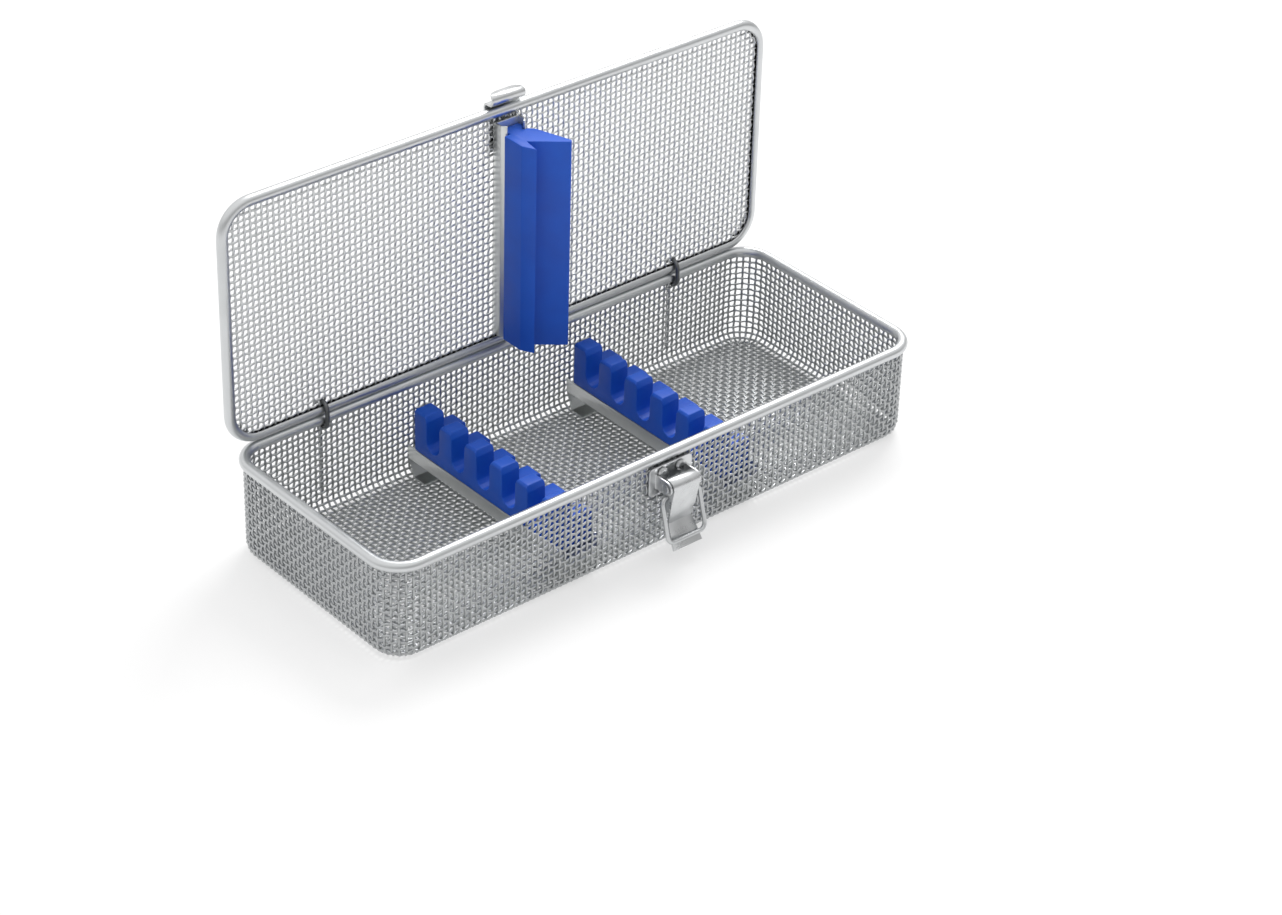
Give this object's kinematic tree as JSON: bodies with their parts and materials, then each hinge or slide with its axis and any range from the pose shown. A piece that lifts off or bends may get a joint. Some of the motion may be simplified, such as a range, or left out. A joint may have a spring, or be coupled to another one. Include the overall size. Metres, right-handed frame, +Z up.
{
  "type": "dental instrument cassette",
  "caption": "Wire-mesh dental instrument cassette: hinged mesh lid, toggle latch with wire bail, silicone combs on raised rails and a silicone hold-down under the lid.",
  "frame": {"origin": "middle of the floor mesh on its underside, where the tray stands on a table", "axes": "+X along the tray's length, +Y from the latch at the front to the hinges at the back, +Z up"},
  "size_m": [0.3, 0.1329, 0.1749],
  "materials": {
    "woven_mesh": "drawn stainless wire, electropolished",
    "polished_rim": "polished stainless band",
    "bright_wire": "bright drawn stainless wire",
    "pressed_sheet": "tumbled stainless pressing",
    "rail_sheet": "satin stainless sheet",
    "blue_silicone": "moulded silicone, satin"
  },
  "bodies": {
    "tray": {"tray_wall_mesh": "woven_mesh", "tray_floor_mesh": "woven_mesh", "tray_rim": "polished_rim", "hinge_loop_left": "bright_wire", "hinge_loop_right": "bright_wire", "latch_base_plate": "pressed_sheet", "latch_backing_plate": "pressed_sheet", "latch_rivet_1": "pressed_sheet", "latch_rivet_2": "pressed_sheet", "latch_rivet_3": "pressed_sheet", "latch_rivet_4": "pressed_sheet", "latch_pivot_pin": "bright_wire", "comb_rail_left": "rail_sheet", "comb_rail_right": "rail_sheet", "comb_left": "blue_silicone", "comb_right": "blue_silicone"},
    "lid": {"lid_mesh": "woven_mesh", "lid_rim": "polished_rim", "catch_plate": "pressed_sheet", "hold_down_channel": "rail_sheet", "hold_down_silicone": "blue_silicone"},
    "lever": {"latch_lever": "pressed_sheet"},
    "bail": {"latch_bail": "bright_wire"}
  },
  "joints": [
    {"name": "lid_hinge", "type": "hinge", "parent": "tray", "child": "lid", "pos_m": [0, 0.0565, 0.0528], "axis": [1, 0, 0], "range_deg": [0, 90]},
    {"name": "lever_pivot", "type": "hinge", "parent": "tray", "child": "lever", "pos_m": [0, -0.0655, 0.037], "axis": [-1, 0, 0], "range_deg": [0, 165]},
    {"name": "bail_pivot", "type": "hinge", "parent": "lever", "child": "bail", "pos_m": [0, -0.0649, 0.032], "axis": [-1, 0, 0], "range_deg": [0, 169.5]}
  ]
}
